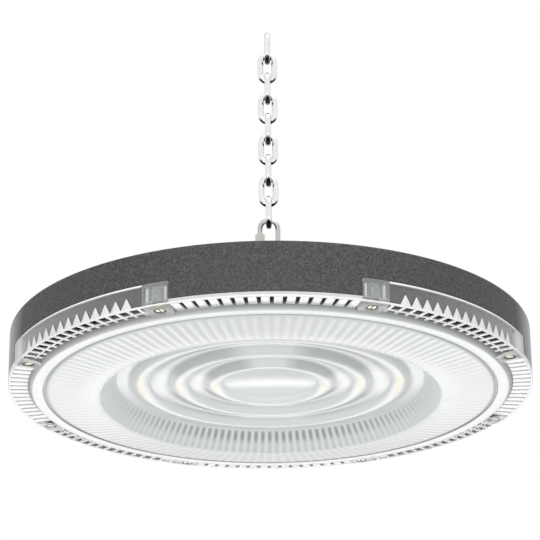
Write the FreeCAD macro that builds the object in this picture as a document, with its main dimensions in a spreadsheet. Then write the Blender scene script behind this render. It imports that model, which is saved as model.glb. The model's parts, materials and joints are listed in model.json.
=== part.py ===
"""Slim round high bay light on a short chain: die-cast housing, clear cover, LED board, driver and hanger.

The frame's origin is where the top chain link hangs, with +Z up. The lamp's pieces are drawn around the
lamp's own axis with their zero height at the rim plane, the lower edge of the housing's open ring, and their
bodies are placed so that the eye bolt sits in the quick link. All sizes are in millimetres and degrees.
"""
import FreeCAD, Part

import math
import os
import re

import Sketcher
from FreeCAD import Placement, Rotation, Vector

SHEET = "Sizes"

# The driving dimensions: name, value and what it is.
DIMENSIONS = [
    # housing casting
    ("rim_radius", 175.0, "outside radius of the lamp"),
    ("rim_top", 35.6, "height of the outer band's top edge"),
    ("rim_foot", 2.6, "height of the outer band's lower edge"),
    ("rim_wall", 3.8, "thickness of the outer band"),
    ("rim_round", 1.5, "radius of the band's top edges"),
    ("deck_low", 14.0, "height of the deck that the LED board sits under"),
    ("deck_thickness", 3.5, "thickness of the deck"),
    ("ledge_inner", 154.0, "inside radius of the deck's thick edge"),
    ("ledge_outer", 162.4, "outside radius of the deck's thick edge"),
    ("ledge_low", 12.2, "height of the deck's thick edge, where the seal sits"),
    ("lead_hole", 7.0, "radius of the deck's hole for the leads"),
    ("lead_place", 42.0, "distance of that hole from the axis"),
    ("plinth_inner", 56.0, "inside radius of the raised ring under the driver cover"),
    ("plinth_outer", 73.0, "outside radius of that ring"),
    ("plinth_height", 4.0, "height of that ring"),
    # vent ring
    ("fin_count", 136, "thin fins between the deck and the band"),
    ("fin_thickness", 1.3, "thickness of a thin fin"),
    ("fin_front", 162.7, "radius of a fin's inner edge, below the deck"),
    ("fin_foot", 3.2, "height of a fin's lower edge"),
    ("fin_shoulder", 158.0, "radius where a thin fin ends on the deck"),
    ("cooling_fins", 34, "long cooling fins on top of the deck"),
    ("cooling_thickness", 2.0, "thickness of a long fin"),
    ("cooling_top", 31.5, "height of a long fin"),
    # sectors of the band where the cover stands in front of it
    ("sector_count", 4, "such sectors, between pairs of lugs"),
    ("skirt_gap", 0.25, "clearance between the cover and the band"),
    ("notch_count", 13, "pointed vents in each of those sectors"),
    ("notch_width", 5.6, "width of a pointed vent at its foot"),
    ("notch_top", 7.6, "height of a vent's point"),
    # clear cover
    ("cover_foot", -0.7, "height of the cover's lower rim edge"),
    ("cover_rim", 171.8, "inside radius of the cover's rim"),
    ("cover_wall", 1.6, "thickness of the cover's standing walls"),
    ("cover_neck", 162.0, "outside radius of the cover's inner wall"),
    ("neck_top", 11.0, "height of that wall"),
    ("skirt_top", 14.3, "height of the skirt and of the lugs"),
    ("bar_width", 1.1, "width of a bar of the cover's grille"),
    ("bar_height", 1.2, "height of such a bar"),
    ("tie_radius", 165.4, "inside radius of the ring that ties the bars"),
    ("flange_low", -3.5, "height of the flat ring around the optic"),
    ("flange_outer", 156.5, "outside radius of that ring"),
    ("flange_inner", 152.0, "inside radius of that ring"),
    ("groove_width", 1.6, "width of the shallow groove inside it"),
    ("groove_depth", 0.9, "depth of that groove"),
    ("flute_outer", 149.4, "outside radius of the fluted ring"),
    ("flute_inner", 119.0, "inside radius of the fluted ring"),
    ("flute_low", -7.0, "height of the fluted ring's inner edge"),
    ("flute_count", 136, "flutes around the ring"),
    ("flute_share", 0.8, "share of the ring that the flutes cover"),
    ("flute_proud", 0.6, "how far a flute stands out"),
    ("flute_short", 0.4, "how far a flute stops short of the ring's edges"),
    ("knee_radius", 113.0, "radius of the knee inside the fluted ring"),
    ("well_radius", 103.0, "radius of the recessed centre"),
    ("well_floor", 6.5, "height of the recessed centre's flat floor"),
    ("cover_thickness", 2.0, "thickness of the optic's wall"),
    ("lens_outer", 87.0, "radius of the outer ring lens"),
    ("lens_middle", 61.0, "radius of the middle ring lens"),
    ("lens_inner", 37.4, "radius of the inner ring lens"),
    ("lens_half", 7.0, "half the width of a ring lens"),
    ("lens_drop", 3.6, "how far a ring lens stands below the floor"),
    # screw lugs of the cover
    ("lug_count", 8, "screw lugs around the cover"),
    ("lug_width", 17.6, "width of a lug"),
    ("lug_inner", 158.6, "radius of a lug's rounded inner end"),
    ("lug_tilt", 2.3, "how much lower a lug is at its inner end than at the rim"),
    ("lug_depth", 4.0, "depth that a lug is blocked out to, before its underside is cut"),
    ("lug_plate", 2.6, "height of a lug's inside floor"),
    ("lug_wall", 1.5, "thickness of a lug's walls"),
    ("screw_circle", 167.6, "radius of the circle of cover screws"),
    ("screw_bore", 2.3, "radius of a lug's screw hole"),
    ("sink_radius", 4.2, "radius of the recess for a screw's head"),
    ("sink_seat", 0.9, "height of the recess's seat"),
    ("boss_radius", 5.4, "radius of the post inside a lug"),
    ("boss_top", 12.4, "height of that post"),
    ("lug_slack", 0.9, "clearance beside a lug"),
    ("post_radius", 4.6, "radius of the housing's screw posts"),
    ("tap_radius", 2.05, "radius of their threaded holes"),
    ("tap_depth", 12.0, "depth of those holes"),
    ("screw_reach", 11.0, "how far a cover screw reaches above its lug's post"),
    ("thread_radius", 2.0, "radius of an M4 screw's thread"),
    ("head_radius", 3.6, "radius of an M4 screw's head"),
    ("head_height", 2.3, "height of an M4 screw's head"),
    ("slot_width", 0.9, "width of a screw's slot"),
    ("slot_depth", 0.8, "depth of a screw's slot"),
    # inside
    ("board_radius", 114.0, "radius of the LED board"),
    ("board_thickness", 1.6, "thickness of the LED board"),
    ("pad_thickness", 0.3, "thickness of the thermal pad"),
    ("chip_size", 3.0, "side of an LED"),
    ("chip_height", 0.7, "height of an LED"),
    ("chips_outer", 48, "LEDs on the outer ring"),
    ("chips_middle", 34, "LEDs on the middle ring"),
    ("chips_inner", 20, "LEDs on the inner ring"),
    ("reflector_inner", 106.0, "inside radius of the reflector"),
    ("reflector_lip", 114.0, "radius where the reflector's lip ends"),
    ("reflector_outer", 160.2, "outside radius of the reflector"),
    ("reflector_low", 1.0, "height of the reflector's lower edge"),
    ("reflector_thickness", 1.2, "thickness of the reflector"),
    ("board_screw_circle", 110.0, "radius of the circle of board screws"),
    ("board_screw_count", 8, "board screws"),
    ("small_thread", 1.5, "radius of an M3 screw's thread"),
    ("small_head", 2.8, "radius of an M3 screw's head"),
    ("small_head_height", 1.6, "height of an M3 screw's head"),
    # driver cover and what it holds
    ("drum_radius", 64.0, "outside radius of the driver cover"),
    ("drum_top", 66.0, "height of the driver cover's top"),
    ("drum_wall", 2.5, "thickness of the driver cover"),
    ("drum_flange", 72.0, "radius of the driver cover's flange"),
    ("drum_bevel", 4.0, "bevel of the driver cover's top edge"),
    ("drum_foot", 3.0, "thickness of the driver cover's flange"),
    ("drum_screws", 6, "screws that hold the driver cover"),
    ("drum_screw_circle", 68.0, "radius of their circle"),
    ("drum_seal", 0.8, "thickness of the driver cover's gasket"),
    ("crown_radius", 14.0, "radius of the thick pad under the eye bolt"),
    ("crown_depth", 6.0, "depth of that pad"),
    ("driver_length", 88.0, "length of the driver module"),
    ("driver_width", 54.0, "width of the driver module"),
    ("driver_low", 20.5, "height of the driver module's underside"),
    ("driver_top", 46.0, "height of the driver module's top"),
    ("ear_width", 18.0, "width of the driver module's screw ears"),
    ("ear_reach", 8.0, "how far an ear reaches beyond the module"),
    ("ear_thickness", 2.0, "thickness of an ear"),
    ("terminal_near", 20.0, "distance of the terminal block's inner end from the axis"),
    ("terminal_far", 40.0, "distance of its outer end from the axis"),
    ("terminal_width", 20.0, "width of the terminal block"),
    ("terminal_height", 11.0, "height of the terminal block"),
    ("terminal_step", 6.4, "distance between its wire holes"),
    ("terminal_hole", 2.0, "radius of a wire hole"),
    ("lead_radius", 1.1, "radius of a lead"),
    ("lead_spread", 1.7, "half the distance between the two leads"),
    ("grommet_bore", 3.6, "radius of the grommet's bore"),
    ("lead_bend", 8.0, "bend radius of the leads"),
    ("gland_place", 42.0, "distance of the cable gland from the axis"),
    ("gland_thread", 8.0, "radius of the gland's thread"),
    ("gland_bore", 3.6, "radius of the gland's sealing bore"),
    ("gland_hexagon", 11.5, "radius over the gland's hexagon"),
    ("gland_nut_height", 5.0, "height of the gland's nut"),
    ("breather_thread", 6.0, "radius of the breather's thread"),
    ("breather_place", 40.0, "distance of the breather from the axis"),
    ("breather_nut_height", 4.0, "height of the breather's nut"),
    # hanger
    ("eye_wire", 3.5, "radius of the eye bolt's ring section"),
    ("eye_ring", 13.5, "mean radius of the eye bolt's ring"),
    ("eye_height", 85.1, "height of the ring's centre above the rim plane"),
    ("eye_collar", 9.0, "radius of the eye bolt's collar"),
    ("eye_nut_radius", 7.5, "radius over the eye bolt's nut"),
    ("eye_nut_height", 6.5, "height of the eye bolt's nut"),
    ("eye_washer_thickness", 1.6, "thickness of the eye bolt's washer"),
    ("eye_shank", 4.0, "radius of the eye bolt's shank"),
    ("eye_length", 16.0, "length of the shank below the collar"),
    ("link_wire", 2.0, "radius of a chain link's wire"),
    ("link_inside", 16.1, "inside length of a chain link"),
    ("link_bend", 4.85, "bend radius of a chain link, to the wire's middle"),
    ("link_total", 9, "chain links"),
    ("hang_gap", 0.1, "play where two links meet"),
    ("quick_wire", 1.75, "radius of the quick link's wire"),
    ("quick_inside", 27.9, "inside length of the quick link"),
    ("quick_bend", 6.2, "bend radius of the quick link, to the wire's middle"),
    ("quick_gap_low", -4.0, "lower end of the quick link's gap, from its middle"),
    ("quick_gap_high", 1.0, "upper end of that gap"),
    ("sleeve_low", -8.0, "lower end of the sleeve nut, from the quick link's middle"),
    ("sleeve_high", 5.0, "upper end of the sleeve nut"),
    ("sleeve_radius", 3.3, "radius over the sleeve nut's corners"),
    ("sleeve_bore", 1.8, "radius of the sleeve nut's thread"),
]
NAMES = {name for name, value, note in DIMENSIONS}

# Places along the hanger, below the point where the top link hangs.
LINK_PITCH = "(link_inside - hang_gap)"
QUICK_MIDDLE = "-(link_total * (link_inside - hang_gap) + quick_inside / 2)"
EYE_MIDDLE = (
    "-(link_total * link_inside - (link_total + 1) * hang_gap + quick_inside - eye_wire + eye_ring)"
)
LAMP = EYE_MIDDLE + " - eye_height"

# Heights and radii that follow from the driving dimensions.
DECK_TOP = "(deck_low + deck_thickness)"
PLINTH_TOP = "(deck_low + deck_thickness + plinth_height)"
DRUM_FOOT = "(deck_low + deck_thickness + plinth_height + drum_seal)"
BOARD_TOP = "(deck_low - pad_thickness)"
BOARD_LOW = "(deck_low - pad_thickness - board_thickness)"
LIP_LOW = "(deck_low - pad_thickness - board_thickness - reflector_thickness)"
BAND_INNER = "(rim_radius - rim_wall)"
SKIRT_INNER = "(rim_radius - cover_wall)"
RECESS = "(rim_radius - cover_wall - skirt_gap)"
FIN_STEP = "360 / fin_count"
LUG_STEP = "360 / lug_count"
SKIRT_CEILING = "(skirt_top + skirt_gap)"
POST_LOW = "(boss_top + 0.1)"
NECK_INNER = "(cover_neck - cover_wall)"
FIRST_VENT = "(180 / sector_count - (notch_count - 1) / 2 * 360 / fin_count)"
EYE_WASHER_LOW = "(drum_top - crown_depth - eye_washer_thickness)"
DRUM_FLANGE_TOP = "(deck_low + deck_thickness + plinth_height + drum_seal + drum_foot)"
GLAND_SEAT = "(gland_bore + 2.6)"
GLAND_AT = ("0", "gland_place")
BREATHER_AT = ("-breather_place * cos(30)", "-breather_place * sin(30)")
DRIVER_EAR = "(driver_length / 2 + 4)"
UP = Vector(0, 0, 1)


def bound(formula):
    """Point the sheet's names in a formula at the sheet."""
    return re.sub(r"[a-z_]+", lambda word: SHEET + "." + word[0] if word[0] in NAMES else word[0], formula)


def number(doc, formula):
    """The present value of a formula."""
    result = doc.getObject(SHEET).evalExpression(bound(str(formula)))
    return float(getattr(result, "Value", result))


def make_sheet(doc):
    """The spreadsheet that drives the model: a note, a plain number and its alias in each row."""
    sheet = doc.addObject("Spreadsheet::Sheet", SHEET)
    for row, (name, value, note) in enumerate(DIMENSIONS, start=1):
        sheet.set(f"A{row}", note)
        sheet.set(f"B{row}", str(value))
        sheet.setAlias(f"B{row}", name)
    doc.recompute()


def box(near, far, low, high):
    """The four corners of a rectangle."""
    return [(near, low), (far, low), (far, high), (near, high)]


class Piece:
    """One PartDesign body, with short calls for the features that this lamp's pieces need."""

    def __init__(self, doc, label, height=LAMP, turn=None, at=("0", "0")):
        self.doc = doc
        self.label = label
        self.body = doc.addObject("PartDesign::Body", label)
        self.body.Label = label
        self.body.setExpression("Placement.Base.z", bound(height))
        if turn is not None:
            self.body.Placement = Placement(Vector(), Rotation(UP, 1))
            self.body.setExpression("Placement.Rotation.Angle", bound(turn))
        for axis, formula in zip("xy", at):
            self.body.setExpression(f"Placement.Base.{axis}", bound(formula))

    def datum(self, role):
        """One of the body's own origin planes or axes."""
        return next(item for item in self.body.Origin.OriginFeatures if item.Role == role)

    def sketch(self, name, role="XZ_Plane", offset=(), turn=None, turn_axis=Vector(0, 1, 0)):
        """An empty sketch on an origin plane. Offsets are along the sketch's own axes."""
        sketch = self.body.newObject("Sketcher::SketchObject", f"{self.label}_{name}_sketch")
        sketch.AttachmentSupport = [(self.datum(role), "")]
        sketch.MapMode = "FlatFace"
        if turn is not None:
            sketch.AttachmentOffset = Placement(Vector(), Rotation(turn_axis, 1))
            sketch.setExpression("AttachmentOffset.Rotation.Angle", bound(turn))
        for axis, formula in zip("xyz", offset):
            sketch.setExpression(f"AttachmentOffset.Base.{axis}", bound(formula))
        return sketch

    def place_point(self, sketch, geometry, position, point):
        """Bind a point's two distances from the sketch's origin, or pin it to an axis where one is zero."""
        kinds = (("DistanceX", -2), ("DistanceY", -1))
        for formula, (kind, axis) in zip(point, kinds):
            value = number(self.doc, formula)
            if abs(value) < 1e-6:
                sketch.addConstraint(Sketcher.Constraint("PointOnObject", geometry, position, axis))
                continue
            index = sketch.addConstraint(Sketcher.Constraint(kind, -1, 1, geometry, position, value))
            sketch.setExpression(f"Constraints[{index}]", bound(formula))

    def outline(self, sketch, corners, closed=True):
        """An outline. A corner's third item, if any, is a point that an arc to the next corner passes."""
        ends = [Vector(number(self.doc, corner[0]), number(self.doc, corner[1]), 0) for corner in corners]
        count = len(corners)
        edges = []
        for index, corner in enumerate(corners if closed else corners[:-1]):
            start, end = ends[index], ends[(index + 1) % count]
            if len(corner) == 2:
                edge = Part.LineSegment(start, end)
            else:
                crest = Vector(number(self.doc, corner[2][0]), number(self.doc, corner[2][1]), 0)
                edge = Part.Arc(start, crest, end)
            edges.append(sketch.addGeometry(edge))
        for index in range(len(edges) if closed else len(edges) - 1):
            following = (index + 1) % count
            tail = self.edge_end(sketch, edges[index], ends[following])
            head = self.edge_end(sketch, edges[following], ends[following])
            ends_meet = Sketcher.Constraint("Coincident", edges[index], tail, edges[following], head)
            sketch.addConstraint(ends_meet)
        for index, corner in enumerate(corners):
            edge = edges[min(index, len(edges) - 1)]
            self.place_point(sketch, edge, self.edge_end(sketch, edge, ends[index]), corner[:2])
            if len(corner) == 3:
                crest = Vector(number(self.doc, corner[2][0]), number(self.doc, corner[2][1]), 0)
                point = sketch.addGeometry(Part.Point(crest), True)
                self.place_point(sketch, point, 1, corner[2])
                sketch.addConstraint(Sketcher.Constraint("PointOnObject", point, 1, edges[index]))
        return sketch

    @staticmethod
    def edge_end(sketch, edge, place):
        """Which end of an edge lies at a place: 1 is its start and 2 its end."""
        start = sketch.getPoint(edge, 1)
        end = sketch.getPoint(edge, 2)
        return 1 if (start - place).Length <= (end - place).Length else 2

    def circle(self, sketch, radius, x="0", y="0"):
        """A circle whose radius and place are bound."""
        centre = Vector(number(self.doc, x), number(self.doc, y), 0)
        edge = sketch.addGeometry(Part.Circle(centre, Vector(0, 0, 1), number(self.doc, radius)))
        index = sketch.addConstraint(Sketcher.Constraint("Radius", edge, number(self.doc, radius)))
        sketch.setExpression(f"Constraints[{index}]", bound(radius))
        self.place_point(sketch, edge, 3, (x, y))
        return sketch

    def feature(self, kind, name, sketch, **formulas):
        """A feature made from a sketch, with its sizes bound."""
        made = self.body.newObject("PartDesign::" + kind, f"{self.label}_{name}")
        made.Profile = sketch
        sketch.Visibility = False
        for size, formula in formulas.items():
            made.setExpression(size, bound(formula))
        self.body.Tip = made
        return made

    def spin(self, name, corners, kind="Revolution", angle="360", axis="V_Axis", start=None):
        """Turn an outline around the piece's axis, from a starting angle if one is given."""
        sketch = self.outline(self.sketch(name, turn=start), corners)
        made = self.feature(kind, name, sketch, Angle=angle)
        made.ReferenceAxis = (sketch, [axis])
        return made

    def extrude(self, name, sketch, length, kind="Pad", both_ways=False, reverse=False):
        """Pad or pocket a sketch along its normal."""
        made = self.feature(kind, name, sketch, Length=length)
        made.SideType = "Symmetric" if both_ways else "One side"
        made.Reversed = reverse
        return made

    def sweep(self, name, section, route):
        """A round wire along a route."""
        made = self.feature("AdditivePipe", name, section)
        made.Spine = (route, [])
        route.Visibility = False
        return made

    def drill(self, name, radius, circle, low, depth, count="1", start="0"):
        """Round holes on a circle, cut upwards from a height."""
        sketch = self.sketch(name, "XY_Plane", ("0", "0", low), start, UP)
        self.circle(sketch, radius, circle)
        hole = self.extrude(name, sketch, depth, "Pocket", reverse=True)
        if count != "1":
            self.around(name + "s", [hole], count)

    def around(self, name, originals, count):
        """Repeat features evenly around the piece's axis."""
        pattern = self.body.newObject("PartDesign::PolarPattern", f"{self.label}_{name}")
        pattern.Originals = originals
        pattern.Axis = (self.datum("Z_Axis"), [""])
        pattern.Angle = 360
        pattern.setExpression("Occurrences", bound(count))
        self.body.Tip = pattern
        return pattern

    def around_twice(self, name, originals, count, step, sectors):
        """Repeat features a few steps apart, and that row again in each sector."""
        multi = self.body.newObject("PartDesign::MultiTransform", f"{self.label}_{name}")
        row = self.body.newObject("PartDesign::PolarPattern", f"{self.label}_{name}_row")
        row.Axis = (self.datum("Z_Axis"), [""])
        row.Mode = "Spacing"
        row.setExpression("Offset", bound(step))
        row.setExpression("Occurrences", bound(count))
        rows = self.body.newObject("PartDesign::PolarPattern", f"{self.label}_{name}_rows")
        rows.Axis = (self.datum("Z_Axis"), [""])
        rows.Angle = 360
        rows.setExpression("Occurrences", bound(sectors))
        multi.Originals = originals
        multi.Transformations = [row, rows]
        self.body.Tip = multi
        return multi


def blade(outline, thickness):
    """A flat blade on the plane through the lamp's axis, from its corners as radius and height."""
    corners = [Vector(radius, -thickness / 2, height) for radius, height in outline]
    return Part.Face(Part.makePolygon(corners + corners[:1])).extrude(Vector(0, thickness, 0))


def ring_of(shape, count, first=0.0):
    """Copies of a shape, evenly spaced around the lamp's axis."""
    copies = []
    for index in range(count):
        copy = shape.copy()
        copy.rotate(Vector(), UP, first + index * 360 / count)
        copies.append(copy)
    return copies


class Joined:
    """A node that joins bodies with forms which repeat too often for a body's own patterns."""

    def __init__(self, doc, label, pieces):
        doc.recompute()
        self.label = label
        self.body = doc.addObject("Part::Feature", label)
        self.body.Label = label
        self.place = pieces[0].body.Placement
        self.shapes = []
        for piece in pieces:
            shape = piece.body.Shape.copy()
            shape.Placement = Placement()
            self.shapes.append(shape)
            piece.body.Visibility = False

    def join(self, additions):
        """Fuse everything so far with further forms."""
        self.shapes = [self.shapes[0].multiFuse(self.shapes[1:] + additions)]

    def cut(self, tools):
        """Cut forms away."""
        self.shapes = [self.shapes[0].cut(Part.makeCompound(tools))]

    def finish(self):
        """Give the node its shape and its place."""
        result = self.shapes[0]
        self.body.Shape = result.Solids[0] if len(result.Solids) == 1 else result
        self.body.Placement = self.place
        return self


def make_casting(doc):
    """The housing's deck, with its plinth, its thick edge and its drilled holes."""
    piece = Piece(doc, "casting")
    piece.spin("deck", [
        ("0", "deck_low"),
        ("ledge_inner", "deck_low"),
        ("ledge_inner", "ledge_low"),
        ("ledge_outer", "ledge_low"),
        ("ledge_outer", DECK_TOP),
        ("plinth_outer", DECK_TOP),
        ("plinth_outer", PLINTH_TOP),
        ("plinth_inner", PLINTH_TOP),
        ("plinth_inner", DECK_TOP),
        ("0", DECK_TOP),
    ])
    piece.drill("board_hole", "small_thread + 0.05", "board_screw_circle", "deck_low",
                "deck_thickness", "board_screw_count")
    drum_tap = "(plinth_height + 2)"
    piece.drill("drum_hole", "tap_radius", "drum_screw_circle", f"{PLINTH_TOP} - {drum_tap}", drum_tap,
                "drum_screws")
    piece.drill("driver_hole", "tap_radius", DRIVER_EAR, "deck_low", "deck_thickness", "2")
    piece.drill("lead_hole", "lead_hole", "lead_place", "deck_low", "deck_thickness", "1", "90")
    return piece


def make_band(doc):
    """The housing's outer band. It steps back where the cover's skirt stands in front of it."""
    piece = Piece(doc, "band")
    piece.spin("ring", [
        (BAND_INNER, "rim_foot"),
        ("rim_radius", "rim_foot"),
        ("rim_radius", "rim_top - rim_round",
         ("rim_radius - rim_round * (1 - sqrt(0.5))", "rim_top - rim_round * (1 - sqrt(0.5))")),
        ("rim_radius - rim_round", "rim_top"),
        (BAND_INNER, "rim_top"),
    ])
    recess = piece.spin("recess", box(RECESS, "rim_radius + 1", "0", SKIRT_CEILING),
                        "Groove", LUG_STEP, start=LUG_STEP + " / 2")
    piece.around("recesses", [recess], "sector_count")
    vent = piece.sketch("vent", "YZ_Plane", (
        f"({BAND_INNER} - 1) * sin({FIRST_VENT})", "0", f"({BAND_INNER} - 1) * cos({FIRST_VENT})",
    ), FIRST_VENT)
    piece.outline(vent, [
        ("-notch_width / 2", "rim_foot - 1"),
        ("notch_width / 2", "rim_foot - 1"),
        ("notch_width / 2", "rim_foot"),
        ("0", "notch_top"),
        ("-notch_width / 2", "rim_foot"),
    ])
    vent_cut = piece.extrude("vent", vent, "rim_wall + 2", "Pocket", reverse=True)
    piece.around_twice("vents", [vent_cut], "notch_count", FIN_STEP, "sector_count")
    return piece


def make_housing(doc):
    """Die-cast heat sink: deck and band, joined by thin vent fins, long cooling fins and screw posts."""
    def size(formula):
        return number(doc, formula)

    node = Joined(doc, "housing", [make_casting(doc), make_band(doc)])
    root = size(BAND_INNER) + 1
    thin_fin = blade([
        (size("fin_front"), size("fin_foot")),
        (root, size("fin_foot")),
        (root, size("rim_top")),
        (size("fin_shoulder"), size("rim_top")),
        (size("fin_shoulder"), size("ledge_low")),
        (size("fin_front"), size("ledge_low")),
    ], size("fin_thickness"))
    foot = size("plinth_outer") - 0.5
    sunk = size(DECK_TOP) - 0.5
    long_fin = blade([
        (foot, sunk),
        (size("fin_shoulder") + 1, sunk),
        (size("fin_shoulder") + 1, size("cooling_top")),
        (foot + 12, size("cooling_top")),
        (foot, size(PLINTH_TOP) - 0.5),
    ], size("cooling_thickness"))
    half_step = size(FIN_STEP) / 2
    node.join(ring_of(thin_fin, int(size("fin_count")), half_step)
              + ring_of(long_fin, int(size("cooling_fins")), half_step))

    lugs = int(size("lug_count"))
    half_lug = size(LUG_STEP) / 2
    slot_width = size("lug_width + 2 * lug_slack")
    slot_start = size("ledge_outer - 0.5")
    slot = Part.makeBox(size("rim_radius") + 2 - slot_start, slot_width, size(SKIRT_CEILING) + 1,
                        Vector(slot_start, -slot_width / 2, -1))
    node.cut(ring_of(slot, lugs, half_lug))
    middle = Vector(size("screw_circle"), 0, size(POST_LOW))
    post = Part.makeCylinder(size("post_radius"), size("rim_top - 4") - middle.z, middle)
    node.join(ring_of(post, lugs, half_lug))
    node.cut(ring_of(Part.makeCylinder(size("tap_radius"), size("tap_depth"), middle), lugs, half_lug))
    return node.finish()


def ring_lens(radius, half, drop, level, outwards):
    """Two corners of an outline: where a ring lens starts, with the arc over it, and where it ends."""
    first, second = ("-", "+") if outwards else ("+", "-")
    return [
        (f"{radius} {first} {half}", level, (radius, f"{level} - {drop}")),
        (f"{radius} {second} {half}", level),
    ]


def make_cover_body(doc):
    """The clear cover's turned form: neck, flange, fluted ring, recessed centre and three ring lenses."""
    piece = Piece(doc, "cover_body")
    roof = "(well_floor + cover_thickness)"
    lenses = ["lens_outer", "lens_middle", "lens_inner"]
    underside = [
        ("cover_neck", "cover_foot"),
        ("flange_outer", "flange_low"),
        ("flange_inner", "flange_low"),
        ("flange_inner - 0.4", "flange_low + groove_depth"),
        ("flange_inner - groove_width", "flange_low + groove_depth"),
        ("flute_outer", "flange_low"),
        ("flute_inner", "flute_low", ("knee_radius + 2.4", "flute_low - 0.1")),
        ("knee_radius - 0.8", "flute_low + 2.2"),
        ("well_radius + 1.5", "well_floor - 1.3", ("well_radius + 0.4", "well_floor - 0.35")),
        ("well_radius - 1.5", "well_floor"),
    ]
    for radius in lenses:
        underside += ring_lens(radius, "lens_half", "lens_drop", "well_floor", outwards=False)
    topside = [("0", "well_floor"), ("0", roof)]
    for radius in lenses[::-1]:
        topside += ring_lens(radius, "(lens_half - 1.4)", "(lens_drop - 0.8)", roof, outwards=True)
    topside += [
        ("well_radius + 0.3", roof),
        ("well_radius + 3.1", "well_floor - 0.1"),
        ("knee_radius + 0.8", "flute_low + 3.4"),
        ("flute_inner", "flute_low + cover_thickness"),
        ("flute_outer", "flange_low + cover_thickness"),
        ("flange_outer - 0.7", "flange_low + cover_thickness"),
        (NECK_INNER, "cover_foot + cover_thickness * 0.75"),
        (NECK_INNER, "neck_top"),
        ("cover_neck", "neck_top"),
    ]
    piece.spin("optic", underside + topside)
    return piece


def make_cover_rim(doc):
    """The clear cover's rim, the ring that ties the grille's bars, and its skirts in four sectors."""
    piece = Piece(doc, "cover_rim")
    piece.spin("rim", box("cover_rim", "rim_radius", "cover_foot", "rim_foot - 0.1"))
    skirt = piece.spin("skirt", box(SKIRT_INNER, "rim_radius", "cover_foot", "skirt_top"),
                       angle=LUG_STEP, start=LUG_STEP + " / 2")
    piece.around("skirts", [skirt], "sector_count")
    return piece


def make_cover_lugs(doc):
    """The clear cover's screw lugs: open boxes with a post, a screw hole and a recess for the head."""
    piece = Piece(doc, "cover_lugs")
    half = "lug_width / 2"
    plan = piece.sketch("plan", "XY_Plane", ("0", "0", "-lug_depth"), LUG_STEP + " / 2", UP)
    piece.outline(plan, [
        ("rim_radius + 1", "-" + half),
        ("rim_radius + 1", half),
        ("lug_inner + " + half, half, ("lug_inner", "0")),
        ("lug_inner + " + half, "-" + half),
    ])
    block = piece.extrude("block", plan, "skirt_top + lug_depth")
    hollow = piece.sketch("hollow", "XY_Plane", ("0", "0", "lug_plate"), LUG_STEP + " / 2", UP)
    piece.outline(hollow, box("cover_neck - 2", "rim_radius - lug_wall",
                              f"-({half} - lug_wall)", f"{half} - lug_wall"))
    emptied = piece.extrude("hollow", hollow, "skirt_top", "Pocket", reverse=True)
    boss = piece.sketch("boss", "XY_Plane", ("0", "0", "lug_plate - 0.3"), LUG_STEP + " / 2", UP)
    piece.circle(boss, "boss_radius", "screw_circle")
    post = piece.extrude("boss", boss, "boss_top - lug_plate + 0.3")
    piece.around("lugs", [block, emptied, post], "lug_count")
    piece.drill("bore", "screw_bore", "screw_circle", "-lug_depth", "skirt_top + lug_depth",
                "lug_count", LUG_STEP + " / 2")
    piece.drill("sink", "sink_radius", "screw_circle", "-lug_depth", "sink_seat + lug_depth",
                "lug_count", LUG_STEP + " / 2")
    piece.spin("outside", box("rim_radius", "rim_radius + 8", "-lug_depth - 1", "skirt_top + 1"), "Groove")
    piece.spin("underside", [
        ("lug_inner - 2", "cover_foot - lug_tilt"),
        ("lug_inner - 2", "-lug_depth - 1"),
        ("rim_radius + 1", "-lug_depth - 1"),
        ("rim_radius + 1", "cover_foot"),
    ], "Groove")
    piece.spin("inside", box("lug_inner - 4", "cover_neck - 0.8", "cover_foot - 0.5", "skirt_top + 1"),
               "Groove")
    return piece


def make_lens_cover(doc):
    """One-piece clear cover: optic, rim, skirts, lugs, the grille over the vents and the flutes."""
    def size(formula):
        return number(doc, formula)

    node = Joined(doc, "lens_cover", [make_cover_body(doc), make_cover_rim(doc), make_cover_lugs(doc)])
    low, high = size("cover_foot"), size("cover_foot + bar_height")
    bar = blade([
        (size("cover_neck") - 0.5, low),
        (size("cover_rim") + 0.5, low),
        (size("cover_rim") + 0.5, high),
        (size("cover_neck") - 0.5, high),
    ], size("bar_width"))
    count = int(size("fin_count"))
    lug_step = size(LUG_STEP)
    lug_reach = math.degrees(size("lug_width") / 2 / size("screw_circle"))
    bars = []
    for index, copy in enumerate(ring_of(bar, count)):
        from_lug = abs(index * 360 / count % lug_step - lug_step / 2)
        if from_lug > lug_reach:
            bars.append(copy)
    tie_section = [(size("tie_radius"), low), (size("tie_radius") + 0.9, low),
                   (size("tie_radius") + 0.9, high - 0.3), (size("tie_radius"), high - 0.3)]
    ties = []
    for index in range(int(size("lug_count"))):
        corners = [Vector(radius, 0, height) for radius, height in tie_section]
        face = Part.Face(Part.makePolygon(corners + corners[:1]))
        face.rotate(Vector(), UP, (index - 0.5) * lug_step + lug_reach - 0.3)
        ties.append(face.revolve(Vector(), UP, lug_step - 2 * lug_reach + 0.6))

    flutes = int(size("flute_count"))
    ends = []
    short = size("flute_short")
    for radius, level in ((size("flute_inner") + short, size("flute_low")),
                          (size("flute_outer") - short, size("flange_low"))):
        width = size("flute_share") * 2 * math.pi * radius / flutes
        corners = [
            Vector(radius, -width / 2, level + 0.3),
            Vector(radius, 0, level - size("flute_proud")),
            Vector(radius, width / 2, level + 0.3),
        ]
        ends.append(Part.makePolygon(corners + corners[:1]))
    flute = Part.makeLoft(ends, True, True)
    node.join(bars + ties + ring_of(flute, flutes))
    return node.finish()


def make_lens_gasket(doc):
    """Silicone seal between the cover's neck and the housing."""
    piece = Piece(doc, "lens_gasket")
    piece.spin("seal", box("ledge_inner + 5", "cover_neck + 0.2", "neck_top", "ledge_low"))
    return piece


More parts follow.
